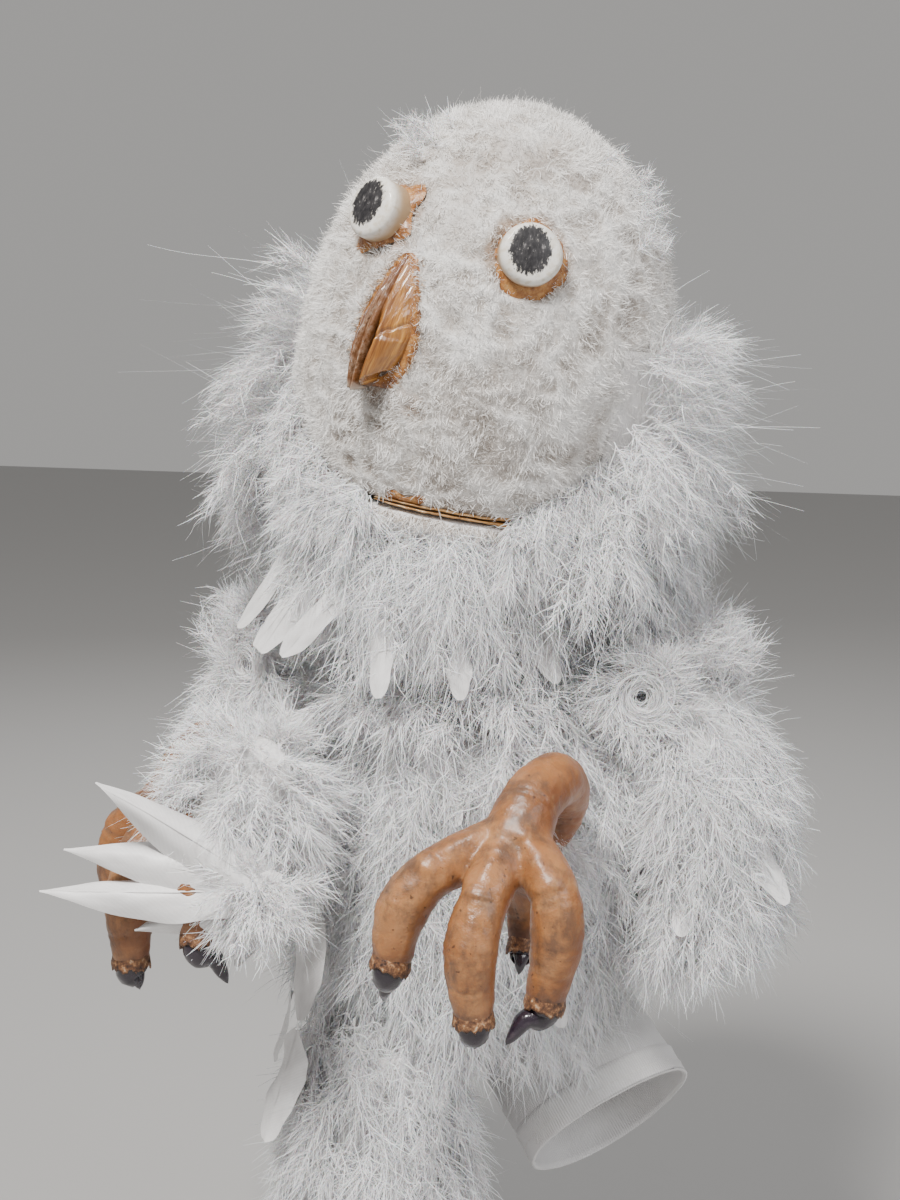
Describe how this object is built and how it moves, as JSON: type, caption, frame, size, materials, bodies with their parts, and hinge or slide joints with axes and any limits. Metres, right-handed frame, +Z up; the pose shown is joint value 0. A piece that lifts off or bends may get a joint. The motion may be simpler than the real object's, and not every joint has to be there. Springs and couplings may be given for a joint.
{
  "type": "moving mouth puppet",
  "caption": "White bird hand puppet: fleece head with hinged jaw, feathered jersey body open for the arm, two wings, two talon feet and a hanging tail.",
  "frame": {"origin": "centre of the arm opening at the sleeve's cuff", "axes": "+Z up, the face looks along -Y, +X is the puppet's left"},
  "size_m": [0.3286, 0.3227, 0.6074],
  "materials": {
    "down": "fluffy white marabou down",
    "quill_feather": "smooth white flat feather",
    "wire": "soft steel wire",
    "latex": "waxy caramel latex with dark smudges",
    "claw_paint": "black gloss paint",
    "glue": "aged brown glue",
    "varnished_beak": "amber varnish",
    "painted_eye": "white painted wood with a black pupil",
    "fleece": "worn off-white fleece",
    "board": "plain board",
    "pocket_cloth": "plain cotton",
    "stuffing": "stuffed cotton",
    "jersey": "white ribbed jersey"
  },
  "bodies": {
    "body": {"body_sleeve": "jersey", "cuff_hem": "jersey", "shoulder_boa": "down", "chest_boa": "down", "belly_boa": "down", "hip_boa": "down", "chest_quills": "quill_feather", "leg_tab_left": "jersey", "leg_tab_right": "jersey", "tail_tab": "jersey"},
    "neck_turner": {"neck_band_lower": "jersey"},
    "neck_tilter": {"neck_band_upper": "jersey"},
    "head": {"head_shell": "board", "head_cover": "fleece", "head_ruff": "down", "eye_left": "painted_eye", "eye_right": "painted_eye", "eye_glue_left": "glue", "eye_glue_right": "glue", "beak": "varnished_beak", "beak_glue": "glue", "upper_lip": "glue", "palate_board": "down", "finger_pocket": "pocket_cloth", "mouth_hinge": "jersey", "head_base": "board", "neck_skirt": "jersey"},
    "jaw": {"jaw_board": "down", "lower_lip": "glue", "thumb_pocket": "pocket_cloth", "chin_pad": "stuffing", "chin_cover": "fleece", "beard_boa": "down"},
    "wing_left": {"wing_panel_left": "jersey", "wing_boa_left": "down", "wing_loop_left": "jersey"},
    "wing_right": {"wing_panel_right": "jersey", "wing_boa_right": "down", "wing_loop_right": "jersey"},
    "leg_left": {"foot_left": "latex", "foot_wire_left": "wire", "claws_left": "claw_paint"},
    "leg_right": {"foot_right": "latex", "foot_wire_right": "wire", "claws_right": "claw_paint", "leg_tuft_right": "down", "leg_quills_right": "quill_feather"},
    "tail": {"tail_core": "stuffing", "tail_boa_upper": "down", "tail_boa_middle": "down", "tail_boa_lower": "down", "tail_quills": "quill_feather"}
  },
  "joints": [
    {"name": "head_turn", "type": "hinge", "parent": "body", "child": "neck_turner", "pos_m": [-0.087, 0.01, 0.222], "axis": [0, 0, 1], "range_deg": [-25, 25]},
    {"name": "head_tilt", "type": "hinge", "parent": "neck_turner", "child": "neck_tilter", "pos_m": [-0.087, 0.01, 0.222], "axis": [0, 1, 0], "range_deg": [-10, 8]},
    {"name": "head_nod", "type": "hinge", "parent": "neck_tilter", "child": "head", "pos_m": [-0.087, 0.01, 0.222], "axis": [1, 0, 0], "range_deg": [-10, 12]},
    {"name": "jaw_open", "type": "hinge", "parent": "head", "child": "jaw", "pos_m": [-0.08008, -0.01, 0.32984], "axis": [0.9816, 0, -0.1908], "range_deg": [0, 22]},
    {"name": "wing_left_lift", "type": "hinge", "parent": "body", "child": "wing_left", "pos_m": [0.011, 0, 0.24], "axis": [0, -1, 0], "range_deg": [0, 40]},
    {"name": "wing_right_lift", "type": "hinge", "parent": "body", "child": "wing_right", "pos_m": [-0.171, 0, 0.24], "axis": [0, 1, 0], "range_deg": [0, 40]},
    {"name": "leg_left_swing", "type": "hinge", "parent": "body", "child": "leg_left", "pos_m": [-0.008, -0.07, 0.168], "axis": [-1, 0, 0], "range_deg": [-10, 25]},
    {"name": "leg_right_swing", "type": "hinge", "parent": "body", "child": "leg_right", "pos_m": [-0.157, -0.065, 0.166], "axis": [-1, 0, 0], "range_deg": [-10, 25]},
    {"name": "tail_swing", "type": "hinge", "parent": "body", "child": "tail", "pos_m": [-0.097, -0.076, 0.084], "axis": [-1, 0, 0], "range_deg": [-4, 18]}
  ]
}
